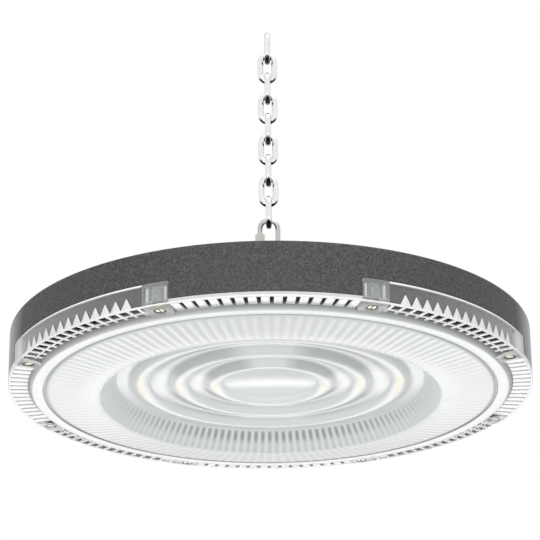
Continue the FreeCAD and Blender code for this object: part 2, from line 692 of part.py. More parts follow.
def make_reflector(doc):
    """White reflector: a lip on the LED board, a shallow cone and a rim inside the cover's neck."""
    piece = Piece(doc, "reflector")
    low = "reflector_low"
    piece.spin("dish", [
        ("reflector_inner", BOARD_LOW),
        ("reflector_lip", BOARD_LOW),
        ("reflector_lip + 6", BOARD_LOW + " - 1.6"),
        ("reflector_outer - 3", low + " + reflector_thickness"),
        ("reflector_outer - reflector_thickness", low + " + reflector_thickness + 1"),
        ("reflector_outer - reflector_thickness", "neck_top - 0.2"),
        ("reflector_outer", "neck_top - 0.2"),
        ("reflector_outer", low),
        ("reflector_outer - 3.2", low),
        ("reflector_lip + 5.6", BOARD_LOW + " - 1.6 - reflector_thickness"),
        ("reflector_lip - 0.3", LIP_LOW),
        ("reflector_inner", LIP_LOW),
    ])
    piece.drill("screw_hole", "small_thread + 0.2", "board_screw_circle", LIP_LOW,
                "reflector_thickness", "board_screw_count")
    return piece


def make_led_board(doc):
    """Round aluminium board that carries the LEDs."""
    piece = Piece(doc, "led_board")
    piece.spin("disc", box("0", "board_radius", BOARD_LOW, BOARD_TOP))
    piece.drill("screw_hole", "small_thread + 0.2", "board_screw_circle", BOARD_LOW,
                "board_thickness", "board_screw_count")
    return piece


def make_thermal_pad(doc):
    """Thin heat-conducting pad between the board and the deck."""
    piece = Piece(doc, "thermal_pad")
    piece.spin("disc", box("0", "board_radius", BOARD_TOP, "deck_low"))
    piece.drill("screw_hole", "small_thread + 0.2", "board_screw_circle", BOARD_TOP,
                "pad_thickness", "board_screw_count")
    piece.drill("lead_hole", "lead_hole", "lead_place", BOARD_TOP, "pad_thickness", "1", "90")
    return piece


def make_led_ring(doc, label, radius, count):
    """One ring of LEDs, a node of separate small blocks."""
    piece = Piece(doc, label)
    sketch = piece.sketch("plan", "XY_Plane", ("0", "0", BOARD_LOW + " - chip_height"))
    piece.outline(sketch, box(f"{radius} - chip_size / 2", f"{radius} + chip_size / 2",
                              "-chip_size / 2", "chip_size / 2"))
    chip = piece.extrude("chip", sketch, "chip_height")
    piece.around("ring", [chip], count)
    return piece


def make_driver_cover(doc):
    """Round can over the driver, with a bolted flange and a thick crown for the eye bolt."""
    piece = Piece(doc, "driver_cover")
    piece.spin("can", [
        ("drum_radius - drum_wall", DRUM_FOOT),
        ("drum_flange", DRUM_FOOT),
        ("drum_flange", DRUM_FLANGE_TOP),
        ("drum_radius", DRUM_FLANGE_TOP),
        ("drum_radius", "drum_top - drum_bevel"),
        ("drum_radius - drum_bevel", "drum_top"),
        ("0", "drum_top"),
        ("0", "drum_top - crown_depth"),
        ("crown_radius", "drum_top - crown_depth"),
        ("crown_radius + 3", "drum_top - drum_wall"),
        ("drum_radius - drum_bevel - 1", "drum_top - drum_wall"),
        ("drum_radius - drum_wall", "drum_top - drum_bevel - 1"),
    ])
    piece.drill("eye_hole", "eye_shank + 0.2", "0", "drum_top - crown_depth", "crown_depth", "1", "0")
    piece.drill("screw_hole", "thread_radius + 0.3", "drum_screw_circle", DRUM_FOOT, "drum_foot",
                "drum_screws", "0")
    roof = "drum_top - drum_wall"
    piece.drill("gland_hole", "gland_thread + 0.1", "gland_place", roof, "drum_wall", "1", "90")
    piece.drill("breather_hole", "breather_thread + 0.1", "breather_place", roof, "drum_wall", "1", "210")
    return piece


def make_driver_cover_gasket(doc):
    """Flat gasket between the driver cover's flange and the housing."""
    piece = Piece(doc, "driver_cover_gasket")
    piece.spin("ring", box("drum_radius - drum_wall", "drum_flange", PLINTH_TOP, DRUM_FOOT))
    piece.drill("screw_hole", "thread_radius + 0.3", "drum_screw_circle", PLINTH_TOP, "drum_seal",
                "drum_screws", "0")
    return piece


def screw_outline(thread, head, head_height, tip, seat, head_down):
    """Half the section of a pan-head screw, from its tip to its head. The seat is the head's flat side."""
    side, back = ("-", "+") if head_down else ("+", "-")
    crest = f"{seat} {side} {head_height}"
    return [
        ("0", tip),
        (f"{thread} * 0.6", tip),
        (thread, f"{tip} {side} 0.8"),
        (thread, seat),
        (head, seat),
        (head, f"{seat} {side} {head_height} * 0.4",
         (f"{head} * 0.88", f"{seat} {side} {head_height} * 0.8")),
        (f"{head} * 0.6", crest),
        ("0", crest),
    ]


def make_screws(doc, label, thread, head, head_height, tip, seat, circle, count, start="0", head_down=True):
    """A ring of equal pan-head screws with straight slots, one node of separate solids."""
    piece = Piece(doc, label, turn=start)
    sketch = piece.sketch("section", offset=(circle, "0", "0"))
    piece.outline(sketch, screw_outline(thread, head, head_height, tip, seat, head_down))
    turned = piece.feature("Revolution", "turned", sketch, Angle="360")
    turned.ReferenceAxis = (sketch, ["V_Axis"])
    crest = f"{seat} - {head_height}" if head_down else f"{seat} + {head_height}"
    slot = piece.sketch("slot", "XY_Plane", (circle, "0", crest))
    piece.outline(slot, box(f"-{head} * 0.72", f"{head} * 0.72", "-slot_width / 2", "slot_width / 2"))
    slotted = piece.extrude("slot", slot, "slot_depth", "Pocket", reverse=head_down)
    piece.around("ring", [turned, slotted], count)
    return piece


def make_cover_screws(doc):
    """The screws that hold the clear cover, one in each lug, with their heads down in the recesses."""
    return make_screws(doc, "cover_screws", "thread_radius", "head_radius", "head_height",
                       "boss_top + screw_reach", "sink_seat", "screw_circle", "lug_count", LUG_STEP + " / 2")


def make_board_screws(doc):
    """The small screws that hold the reflector's lip and the LED board to the deck."""
    return make_screws(doc, "board_screws", "small_thread", "small_head", "small_head_height",
                       DECK_TOP, LIP_LOW, "board_screw_circle", "board_screw_count")


def make_driver_cover_screws(doc):
    """The screws that hold the driver cover's flange to the plinth."""
    return make_screws(doc, "driver_cover_screws", "thread_radius", "head_radius", "head_height",
                       PLINTH_TOP + " - 5.5", DRUM_FLANGE_TOP, "drum_screw_circle", "drum_screws",
                       head_down=False)


def make_driver_screws(doc):
    """The two screws that hold the driver module by its ears."""
    return make_screws(doc, "driver_screws", "thread_radius", "head_radius", "head_height",
                       "deck_low + 0.3", "driver_low + ear_thickness", DRIVER_EAR, "2", head_down=False)


def make_driver_module(doc):
    """Potted LED driver in a box, with an ear for a screw at each end."""
    piece = Piece(doc, "driver_module")
    ears = piece.sketch("ears", "XY_Plane", ("0", "0", "driver_low"))
    reach = "(driver_length / 2 + ear_reach)"
    piece.outline(ears, box("-" + reach, reach, "-ear_width / 2", "ear_width / 2"))
    piece.extrude("ears", ears, "ear_thickness")
    case = piece.sketch("case", "XY_Plane", ("0", "0", "driver_low"))
    half_length, half_width = "driver_length / 2", "driver_width / 2"
    piece.outline(case, box("-" + half_length, half_length, "-" + half_width, half_width))
    piece.extrude("case", case, "driver_top - driver_low")
    piece.drill("screw_hole", "thread_radius + 0.3", DRIVER_EAR, "driver_low", "ear_thickness", "2")
    return piece


def make_driver_spacers(doc):
    """Two spacers that hold the driver above the deck."""
    piece = Piece(doc, "driver_spacers")
    sketch = piece.sketch("ring", "XY_Plane", ("0", "0", DECK_TOP))
    piece.circle(sketch, "thread_radius * 2", DRIVER_EAR)
    piece.circle(sketch, "thread_radius + 0.3", DRIVER_EAR)
    spacer = piece.extrude("spacer", sketch, "driver_low - " + DECK_TOP)
    piece.around("pair", [spacer], "2")
    return piece


def make_terminal_block(doc):
    """Terminal block on the driver, where the supply is connected."""
    piece = Piece(doc, "terminal_block")
    plan = piece.sketch("plan", "XY_Plane", ("0", "0", "driver_top"))
    piece.outline(plan, box("-terminal_far", "-terminal_near", "-terminal_width / 2", "terminal_width / 2"))
    piece.extrude("block", plan, "terminal_height")
    for index, place in enumerate(("-terminal_step", "0", "terminal_step")):
        mouth = piece.sketch(f"mouth_{index}", "YZ_Plane", (place, "driver_top + 4", "-terminal_far"))
        piece.circle(mouth, "terminal_hole")
        piece.extrude(f"mouth_{index}", mouth, "8", "Pocket", reverse=True)
    return piece


def make_lead_grommet(doc):
    """Rubber grommet in the deck's lead hole."""
    piece = Piece(doc, "lead_grommet", at=("0", "lead_place"))
    piece.spin("ring", [
        ("grommet_bore", "deck_low + 0.1"),
        ("lead_hole - 0.1", "deck_low + 0.1"),
        ("lead_hole - 0.1", DECK_TOP),
        ("lead_hole + 2", DECK_TOP),
        ("lead_hole + 2", DECK_TOP + " + 1.5"),
        ("grommet_bore", DECK_TOP + " + 1.5"),
    ])
    return piece


def make_driver_leads(doc):
    """The pair of leads from the driver, through the grommet, to the LED board."""
    piece = Piece(doc, "driver_leads")
    for side, place in (("left", "-lead_spread"), ("right", "lead_spread")):
        route = piece.sketch(side + "_route", "YZ_Plane", ("0", "0", place))
        level = "(driver_low + 11)"
        piece.outline(route, [
            ("driver_width / 2", level),
            ("lead_place - lead_bend", level,
             ("lead_place - lead_bend * (1 - sqrt(0.5))", f"{level} - lead_bend * (1 - sqrt(0.5))")),
            ("lead_place", f"{level} - lead_bend"),
            ("lead_place", BOARD_TOP),
        ], closed=False)
        section = piece.sketch(side + "_section", "XZ_Plane", (place, level, "-driver_width / 2"))
        piece.circle(section, "lead_radius")
        piece.sweep(side + "_lead", section, route)
    return piece


def hexagon(radius):
    """The corners of a hexagon, from the radius over them."""
    return [(f"({radius}) * cos({60 * corner})", f"({radius}) * sin({60 * corner})") for corner in range(6)]


def make_hex_nut(doc, label, radius, bore, low, height, at=("0", "0")):
    """A hexagonal nut, from the radius over its corners and its bore."""
    piece = Piece(doc, label, at=at)
    sketch = piece.sketch("plan", "XY_Plane", ("0", "0", low))
    piece.outline(sketch, hexagon(radius))
    piece.circle(sketch, bore)
    piece.extrude("nut", sketch, height)
    return piece


def make_eye_bolt(doc):
    """Forged eye bolt: ring, collar and threaded shank. The ring stands across the quick link."""
    piece = Piece(doc, "eye_bolt", EYE_MIDDLE, turn="90")
    section = piece.sketch("ring", "XY_Plane")
    piece.circle(section, "eye_wire", "eye_ring")
    ring = piece.feature("Revolution", "ring", section, Angle="360")
    ring.ReferenceAxis = (section, ["V_Axis"])
    foot = "(drum_top - eye_height)"
    piece.spin("shank", [
        ("0", "-eye_ring"),
        ("eye_shank + 1.5", "-eye_ring - 0.8"),
        ("eye_collar", foot + " + 2.5"),
        ("eye_collar", foot),
        ("eye_shank", foot),
        ("eye_shank", foot + " - eye_length + 0.8"),
        ("eye_shank - 0.8", foot + " - eye_length"),
        ("0", foot + " - eye_length"),
    ])
    return piece


def make_eye_washer(doc):
    """The washer under the eye bolt's nut, inside the driver cover."""
    piece = Piece(doc, "eye_washer")
    piece.spin("disc", box("eye_shank + 0.2", "eye_shank * 2", EYE_WASHER_LOW, "drum_top - crown_depth"))
    return piece


def make_eye_nut(doc):
    """The eye bolt's nut."""
    return make_hex_nut(doc, "eye_nut", "eye_nut_radius", "eye_shank + 0.05",
                        EYE_WASHER_LOW + " - eye_nut_height", "eye_nut_height")


def make_gland_body(doc):
    """Cable gland's body: hexagon, thread into the driver cover and a seat for the seal."""
    piece = Piece(doc, "gland_body", at=GLAND_AT)
    piece.spin("tube", [
        ("gland_bore + 1", "drum_top - drum_wall - 6"),
        ("gland_thread", "drum_top - drum_wall - 6"),
        ("gland_thread", "drum_top + 1"),
        ("gland_thread + 0.6", "drum_top + 1"),
        ("gland_thread + 0.6", "drum_top + 11"),
        (GLAND_SEAT, "drum_top + 11"),
        (GLAND_SEAT, "drum_top + 6"),
        ("gland_bore + 1", "drum_top + 6"),
    ])
    plan = piece.sketch("hexagon", "XY_Plane", ("0", "0", "drum_top"))
    piece.outline(plan, hexagon("gland_hexagon"))
    piece.circle(plan, "gland_bore + 1")
    piece.extrude("hexagon", plan, "4")
    return piece


def make_gland_seal(doc):
    """The rubber ring that the cable gland squeezes onto the cable."""
    piece = Piece(doc, "gland_seal", at=GLAND_AT)
    piece.spin("seal", box("gland_bore", GLAND_SEAT + " - 0.05", "drum_top + 6", "drum_top + 13"))
    return piece


def make_gland_dome(doc):
    """Cable gland's domed clamping nut."""
    piece = Piece(doc, "gland_dome", at=GLAND_AT)
    piece.spin("dome", [
        ("gland_thread + 0.65", "drum_top + 4.6"),
        ("gland_thread + 2.6", "drum_top + 4.6"),
        ("gland_thread + 2.6", "drum_top + 11", ("gland_thread + 1.7", "drum_top + 14.4")),
        ("gland_bore + 1.4", "drum_top + 16.5"),
        ("gland_bore + 1.4", "drum_top + 14"),
        (GLAND_SEAT, "drum_top + 13.1"),
        ("gland_thread + 0.65", "drum_top + 11.6"),
    ])
    return piece


def make_gland_nut(doc):
    """The cable gland's nut, inside the driver cover."""
    return make_hex_nut(doc, "gland_nut", "gland_hexagon", "gland_thread + 0.05",
                        "drum_top - drum_wall - gland_nut_height", "gland_nut_height", GLAND_AT)


def make_breather(doc):
    """Pressure breather in the driver cover."""
    piece = Piece(doc, "breather_valve", at=BREATHER_AT)
    piece.spin("valve", [
        ("0", "drum_top - drum_wall - 6"),
        ("breather_thread", "drum_top - drum_wall - 6"),
        ("breather_thread", "drum_top"),
        ("breather_thread + 3", "drum_top"),
        ("breather_thread + 3", "drum_top + 2"),
        ("breather_thread + 1.4", "drum_top + 2.6"),
        ("breather_thread + 1.4", "drum_top + 5"),
        ("breather_thread + 0.4", "drum_top + 6"),
        ("0", "drum_top + 6"),
    ])
    return piece


def make_breather_nut(doc):
    """The breather's nut, inside the driver cover."""
    return make_hex_nut(doc, "breather_nut", "breather_thread + 3", "breather_thread + 0.05",
                        "drum_top - drum_wall - breather_nut_height", "breather_nut_height", BREATHER_AT)


def racetrack(bend, half):
    """The middle line of an oval link, from the middle of its right leg all the way round."""
    return [
        (bend, "0"),
        (bend, half, ("0", f"{half} + {bend}")),
        ("-" + bend, half),
        ("-" + bend, "-" + half, ("0", f"-{half} - {bend}")),
        (bend, "-" + half),
    ]


def make_chain_link(doc, number_from_top):
    """A welded oval link. Every second one is turned by a quarter."""
    height = f"-link_inside / 2 - {number_from_top - 1} * {LINK_PITCH}"
    turn = "90" if number_from_top % 2 else None
    piece = Piece(doc, f"chain_link_{number_from_top}", height, turn=turn)
    half = "(link_inside / 2 - link_bend + link_wire)"
    route = piece.outline(piece.sketch("route"), racetrack("link_bend", half))
    section = piece.circle(piece.sketch("wire", "XY_Plane"), "link_wire", "link_bend")
    piece.sweep("link", section, route)
    return piece


def make_quick_link(doc):
    """Oval screw link: one bent wire with a gap in its left leg, which the sleeve nut closes."""
    piece = Piece(doc, "quick_link", QUICK_MIDDLE)
    half = "(quick_inside / 2 - quick_bend + quick_wire)"
    route = piece.outline(piece.sketch("route"), [
        ("-quick_bend", "quick_gap_high"),
        ("-quick_bend", half, ("0", f"{half} + quick_bend")),
        ("quick_bend", half),
        ("quick_bend", "-" + half, ("0", f"-{half} - quick_bend")),
        ("-quick_bend", "-" + half),
        ("-quick_bend", "quick_gap_low"),
    ], closed=False)
    section = piece.circle(piece.sketch("wire", "XY_Plane", ("0", "0", "quick_gap_high")),
                           "quick_wire", "-quick_bend")
    piece.sweep("link", section, route)
    return piece


def make_quick_link_nut(doc):
    """The sleeve nut that closes the quick link's gap."""
    piece = Piece(doc, "quick_link_nut", QUICK_MIDDLE)
    plan = piece.sketch("plan", "XY_Plane", ("-quick_bend", "0", "sleeve_low"))
    piece.outline(plan, hexagon("sleeve_radius"))
    piece.circle(plan, "sleeve_bore")
    piece.extrude("sleeve", plan, "sleeve_high - sleeve_low")
    return piece


def make_chain(doc):
    """The chain, from its top link down."""
    return [make_chain_link(doc, index) for index in range(1, int(number(doc, "link_total")) + 1)]


def make_led_rings(doc):
    """The three rings of LEDs, one under each ring lens."""
    return [
        make_led_ring(doc, "leds_outer", "lens_outer", "chips_outer"),
        make_led_ring(doc, "leds_middle", "lens_middle", "chips_middle"),
        make_led_ring(doc, "leds_inner", "lens_inner", "chips_inner"),
    ]


MAKERS = [
    make_housing, make_lens_cover, make_lens_gasket, make_cover_screws, make_reflector, make_led_board,
    make_thermal_pad, make_led_rings, make_board_screws, make_driver_cover, make_driver_cover_gasket,
    make_driver_cover_screws, make_driver_module, make_driver_spacers, make_driver_screws,
    make_terminal_block, make_lead_grommet, make_driver_leads, make_gland_body, make_gland_seal,
    make_gland_dome, make_gland_nut, make_breather, make_breather_nut, make_eye_bolt, make_eye_washer,
    make_eye_nut, make_quick_link, make_quick_link_nut, make_chain,
]


def main():
    """Build every piece, check it and write its STEP file."""
    doc = FreeCAD.newDocument("HighBayLight")
    make_sheet(doc)
    nodes = []
    for make in MAKERS:
        made = make(doc)
        nodes += made if isinstance(made, list) else [made]
    doc.recompute()
    for item in doc.Objects:
        if {"Invalid", "Error"} & set(item.State):
            raise RuntimeError(f"{item.Name} did not build: {item.State}")
    for node in nodes:
        shape = node.body.Shape
        if shape.isNull() or not shape.isValid():
            raise RuntimeError(f"{node.label} has no valid shape")
    os.makedirs("parts", exist_ok=True)
    for node in nodes:
        node.body.Shape.exportStep(f"parts/{node.label}.step")
        print(node.label, len(node.body.Shape.Solids), round(node.body.Shape.Volume))


main()
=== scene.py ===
import json
import math

import bmesh
import bpy
from mathutils import Matrix, Vector


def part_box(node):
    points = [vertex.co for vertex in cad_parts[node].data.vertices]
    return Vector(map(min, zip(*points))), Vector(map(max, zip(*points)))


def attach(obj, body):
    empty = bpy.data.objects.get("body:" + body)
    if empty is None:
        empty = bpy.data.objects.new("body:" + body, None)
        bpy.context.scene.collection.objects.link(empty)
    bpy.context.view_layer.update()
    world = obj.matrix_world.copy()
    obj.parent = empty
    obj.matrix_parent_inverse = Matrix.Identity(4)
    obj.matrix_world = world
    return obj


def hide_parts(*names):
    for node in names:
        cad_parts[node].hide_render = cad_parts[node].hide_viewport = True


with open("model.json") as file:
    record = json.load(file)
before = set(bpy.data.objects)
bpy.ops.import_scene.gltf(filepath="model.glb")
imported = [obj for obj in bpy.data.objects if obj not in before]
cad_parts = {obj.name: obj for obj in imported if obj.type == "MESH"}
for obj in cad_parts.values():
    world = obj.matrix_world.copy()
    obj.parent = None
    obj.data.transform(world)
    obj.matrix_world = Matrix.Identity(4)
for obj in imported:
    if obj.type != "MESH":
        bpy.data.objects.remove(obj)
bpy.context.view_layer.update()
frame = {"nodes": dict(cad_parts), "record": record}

NODES = frame["nodes"]
RECORD = frame["record"]
BODY_OF = {node: body for body, group in RECORD["behaviour"]["bodies"].items() for node in group}
SLOT_OF = {entry["node"]: entry["material_slot"] for entry in RECORD["subparts"]}

# ---------------------------------------------------------------- sizes, in metres
# Heights named *_Z are above the rim plane, which lies a little below the housing's band.
BAND_FOOT_Z = 0.0026
RIM_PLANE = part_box("housing")[0].z - BAND_FOOT_Z
RIM_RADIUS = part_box("housing")[1].x
FIN_COUNT = 136
PITCH = 2 * math.pi / FIN_COUNT

# eight sectors between the screw lugs, every second one with a skirt
SECTORS = 8
STEP = 2 * math.pi / SECTORS
SKIRT_START = STEP / 2
OPEN_START = -STEP / 2

# neck, rim, skirts and grille
FOOT_Z = -0.0007
NECK_RADIUS = 0.162
NECK_WALL = 0.0016
NECK_TOP_Z = 0.011
RIM_INNER = 0.1733
RIM_TOP_Z = 0.0025
RIM_SEAM_Z = 0.0003
SKIRT_INNER = 0.1734
SKIRT_TOP_Z = 0.0143
BEAD_HEIGHT = 0.0013
TIE_RADIUS = 0.1654
TIE_SIZE = 0.0009
BAR_HEIGHT = 0.001
SLIM_BAR = 0.0019
BROAD_BAR = 0.0054

# pointed ribs in a skirt
PEAKS = 13
PEAK_TOP_Z = 0.0072
PEAK_HALF = 0.0039
PEAK_FLATNESS = 0.17
PEAK_CIRCLE = 0.1743

# optic
FLANGE_Z = -0.0035
FLANGE_OUTER = 0.159
GROOVE_OUTER = 0.152
GROOVE_DEPTH = 0.0009
FLUTE_OUTER = 0.1494
FLUTE_INNER = 0.119
FLUTE_LOW_Z = -0.007
FLUTE_DEPTH = 0.0002
KNEE_RADIUS = 0.1143
WELL_RADIUS = 0.103
FLOOR_Z = 0.0065
COVER_THICK = 0.002
RING_LENSES = (0.087, 0.061, 0.0374)
LENS_HALF = 0.007
LENS_DROP = 0.0036

# screw lugs
SCREW_CIRCLE = 0.1676
LUG_HALF = 0.0088
LUG_REACH = LUG_HALF / SCREW_CIRCLE
LUG_CENTRE = 0.1674
LUG_CORNER = RIM_RADIUS - 0.0003
LUG_OUTER = 0.176
LUG_LENGTH = 0.0194
LUG_FALL = 0.0023
LUG_WALL = 0.0015
RECESS_RADIUS = 0.0042
RECESS_TOP_Z = 0.0009
BORE_RADIUS = 0.0023
POST_RADIUS = 0.005
POST_TOP_Z = 0.0124
LUG_RIB = (0.0012, 0.0016, 0.0092)
LUG_RIB_ASIDE = 0.0061


# ---------------------------------------------------------------- shader sums
class Wire:
    """A shader socket that takes part in sums: an expression on wires adds its Math nodes."""

    def __init__(self, tree, socket):
        self.tree = tree
        self.socket = socket

    def maths(self, operation, *values):
        """A Math node with this operation, on the values in their order."""
        return self.tree.node("ShaderNodeMath", {"operation": operation}, dict(enumerate(values)))

    def __add__(self, other):
        return self.maths("ADD", self, other)

    __radd__ = __add__

    def __sub__(self, other):
        return self.maths("SUBTRACT", self, other)

    def __rsub__(self, other):
        return self.maths("SUBTRACT", other, self)

    def __mul__(self, other):
        return self.maths("MULTIPLY", self, other)

    __rmul__ = __mul__

    def __truediv__(self, other):
        return self.maths("DIVIDE", self, other)

    def __pow__(self, other):
        return self.maths("POWER", self, other)

    def __abs__(self):
        return self.maths("ABSOLUTE", self)

    def cosine(self):
        return self.maths("COSINE", self)

    def larger(self, other):
        """This value or another, whichever is larger."""
        return self.maths("MAXIMUM", self, other)

    def bearing(self, right):
        """The angle of a point that lies this far back and another distance to the right."""
        return self.maths("ARCTAN2", self, right)

    def beside(self, name):
        """Another output of the node that this wire comes from."""
        return Wire(self.tree, self.socket.node.outputs[name])


class NodeTree:
    """A node tree with short calls for its nodes."""

    def __init__(self, owner):
        owner.use_nodes = True
        self.tree = owner.node_tree
        self.tree.nodes.clear()

    def node(self, kind, settings=None, sockets=None, output=0):
        """Add a node: its settings first, then the values or wires of its sockets."""
        node = self.tree.nodes.new(kind)
        for name, value in (settings or {}).items():
            if name == "stops":
                self.set_stops(node.color_ramp, value)
            else:
                setattr(node, name, value)
        for name, value in (sockets or {}).items():
            if isinstance(value, Wire):
                self.tree.links.new(value.socket, node.inputs[name])
            else:
                node.inputs[name].default_value = value
        return Wire(self, node.outputs[output]) if node.outputs else None

    @staticmethod
    def set_stops(ramp, stops):
        while len(ramp.elements) < len(stops):
            ramp.elements.new(0.5)
        for element, (place, shade) in zip(ramp.elements, stops):
            element.position = place
            element.color = (shade, shade, shade, 1)

    def place(self):
        """The piece's own coordinates, in metres."""
        return self.node("ShaderNodeTexCoord", output=3)

    def slant(self, blend=0.5):
        """How far a face is turned from the viewer: 0 face-on, 1 edge-on."""
        return self.node("ShaderNodeLayerWeight", {}, {"Blend": blend}, output=1)

    def upward(self):
        """How far a face looks up: 1 on top, -1 underneath."""
        normal = self.node("ShaderNodeTexCoord", output=1)
        return self.node("ShaderNodeSeparateXYZ", {}, {"Vector": normal}, output=2)

    def across(self):
        """The distances to the right of the lamp's axis and behind it."""
        right = self.node("ShaderNodeSeparateXYZ", {}, {"Vector": self.place()})
        return right, right.beside("Y")

    def noise(self, scale, detail=2.0, roughness=0.5):
        """A number from 0 to 1 that wanders over the surface, scale times in a metre."""
        sockets = {"Vector": self.place(), "Scale": scale, "Detail": detail, "Roughness": roughness}
        return self.node("ShaderNodeTexNoise", {}, sockets)

    def ramp(self, value, *stops):
        """A shade from 0 to 1 that follows a value through its stops."""
        return self.node("ShaderNodeValToRGB", {"stops": stops}, {"Fac": value})

    def mix(self, mask, first, second):
        """One colour where the mask is 0, the other where it is 1."""
        sockets = {0: mask, 6: colour(first), 7: colour(second)}
        return self.node("ShaderNodeMix", {"data_type": "RGBA"}, sockets, output=2)

    def bump(self, height, strength, distance):
        """A relief for a shader's Normal, with a height of up to this many metres."""
        return self.node("ShaderNodeBump", {}, {"Height": height, "Strength": strength, "Distance": distance})


def colour(value):
    """A wire as it is, or three numbers as an opaque colour."""
    return value if isinstance(value, Wire) else (*value, 1)


def finish_of(name, draw, constants=None):
    """A material: the draw function gives what changes over the surface, the rest are plain numbers."""
    material = bpy.data.materials.new(name)
    tree = NodeTree(material)
    shader = tree.node("ShaderNodeBsdfPrincipled", {}, {**(constants or {}), **draw(tree)})
    tree.node("ShaderNodeOutputMaterial", {}, {"Surface": shader})
    return material


# ---------------------------------------------------------------- finishes
def powder_coat(tree):
    """Textured graphite powder coat: fine lumps, with paler flecks on their crests, and a painted sheen that
    makes it paler at a slant.
    """
    lumps = tree.noise(700.0, 3.0, 0.7)
    drift = tree.noise(14.0)
    fleck = tree.ramp(lumps, (0.4, 0.0), (0.66, 1.0))
    shade = tree.mix(fleck, (0.016, 0.018, 0.017), (0.088, 0.092, 0.09))
    even = tree.mix(drift * 0.3, shade, (0.038, 0.041, 0.039))
    return {
        # painted sheen: the colour turns pale grey where a face is seen at a slant
        "Base Color": tree.mix(tree.ramp(tree.slant(), (0.72, 0.0), (1.0, 1.0)), even, (0.5, 0.52, 0.52)),
        "Roughness": 0.5 + lumps * 0.25,
        "Normal": tree.bump(lumps, 0.5, 0.0004),
    }


def clear_wall(tree):
    """A thin wall of clear plastic: it shows what is behind it, and a painted reflection makes it paler at a
    slant.
    """
    slant = tree.slant(0.4)
    waves = tree.noise(60.0)
    return {
        # painted reflection: pale where the wall is seen at a slant
        "Base Color": tree.mix(slant, (0.3, 0.31, 0.32), (0.85, 0.87, 0.87)),
        "Alpha": 0.08 + slant * 0.4,
        "Roughness": 0.08 + waves * 0.05,
        "Normal": tree.bump(waves, 0.15, 0.001),
    }


def clear_lug(tree):
    """The screw lugs' clear plastic, less clear than a thin wall, with a painted reflection that makes it
    paler at a slant.
    """
    slant = tree.slant(0.45)
    waves = tree.noise(160.0)
    return {
        # painted reflection: pale outlines where a face is seen at a slant
        "Base Color": tree.mix(slant, (0.5, 0.53, 0.52), (0.93, 0.94, 0.94)),
        "Alpha": 0.14 + slant * 0.6,
        "Roughness": 0.06 + waves * 0.08,
        "Normal": tree.bump(waves, 0.4, 0.001),
    }


def clear_rib(pale, painted_slant_colour):
    """Ribs, beads and edges of the clear plastic, near opaque so they hide what is behind them; their face-on
    colour is a painted reflection of the light they gather, and their colour at a slant is painted too.
    """
    def draw(tree):
        waves = tree.noise(220.0)
        return {
            # painted at a slant: a darker edge as shade on the ribs and peaks, a paler edge as reflection on
            # the tall rim
            "Base Color": tree.mix(tree.slant(), pale, painted_slant_colour),
            "Alpha": 0.82 + waves * 0.16,
            "Roughness": 0.1 + waves * 0.12,
            "Normal": tree.bump(waves, 0.3, 0.0006),
        }
    return draw


def painted_ring_shade(tree, radius):
    """Painted shade over the optic: near white in the middle, dark in the groove outside the flutes, and dark
    again at the neck.
    """
    tone = tree.ramp(
        radius * 5.0, (0.15, 0.97), (0.2, 0.9), (0.749, 0.86), (0.751, 0.34), (0.758, 0.34),
        (0.761, 0.88), (0.794, 0.88), (0.798, 0.55), (0.81, 0.25))
    return tree.mix(tone, (0.0, 0.0, 0.0), (0.965, 1.0, 0.985))


def painted_reflection_clouds(tree, radius, right, back):
    """A mask of painted reflections: grey clouds beside the ring lenses, on the diagonals."""
    beside = tree.ramp(
        radius * 10.0, (0.36, 0), (0.4, 1), (0.5, 1), (0.54, 0), (0.6, 0), (0.65, 1), (0.77, 1), (0.81, 0))
    diagonal = abs(right * back) * 2.0 / (radius * radius)
    return beside * tree.ramp(diagonal, (0.4, 0), (0.8, 1))


def painted_flute_shade(tree, radius, right, back):
    """A mask of painted shade in the flutes' valleys, faint on the flat ring and strong on the steep wall."""
    turns = back.bearing(right) * float(FIN_COUNT)
    valley = 0.5 - turns.cosine() * 0.5
    sideways = tree.ramp(abs(back) / radius, (0.3, 0.2), (0.95, 1))
    depth = tree.ramp(
        radius * 5.0, (0.521, 0), (0.524, 1), (0.54, 1), (0.552, 0.3), (0.575, 0.4), (0.585, 0.2),
        (0.74, 0.2), (0.748, 0))
    return valley * depth * sideways


def painted_led_glints(tree, radius, right):
    """A mask of painted yellow glints of the LEDs, as seen through each ring lens at its left and right."""
    stops = []
    for middle in (0.37, 0.61, 0.87):
        stops += [(middle - 0.02, 0), (middle, 1), (middle + 0.02, 0)]
    return tree.ramp(radius * 10.0, *stops) * tree.ramp(abs(right) / radius, (0.96, 0), (0.99, 1))


def clear_optic(tree):
    """The optic's plastic, with painted shade after its rings and flutes, painted grey reflections, and
    painted yellow glints of the LEDs.
    """
    waves = tree.noise(35.0)
    right, back = tree.across()
    radius = (right * right + back * back) ** 0.5
    # painted shade that follows the optic's rings, groove and neck
    rings = painted_ring_shade(tree, radius)
    # grey painted reflections beside the ring lenses, on the diagonals
    reflection_clouded = tree.mix(painted_reflection_clouds(tree, radius, right, back), rings, (0.6, 0.625, 0.62))
    # painted shade in the flutes' valleys
    fluted = tree.mix(painted_flute_shade(tree, radius, right, back), reflection_clouded, (0.36, 0.38, 0.38))
    return {
        # painted yellow glints of the LEDs on the ring lenses
        "Base Color": tree.mix(painted_led_glints(tree, radius, right), fluted, (0.95, 0.86, 0.5)),
        "Alpha": 0.82 + tree.slant() * 0.16,
        "Roughness": 0.2 + waves * 0.1,
        "Normal": tree.bump(waves, 0.1, 0.001),
    }


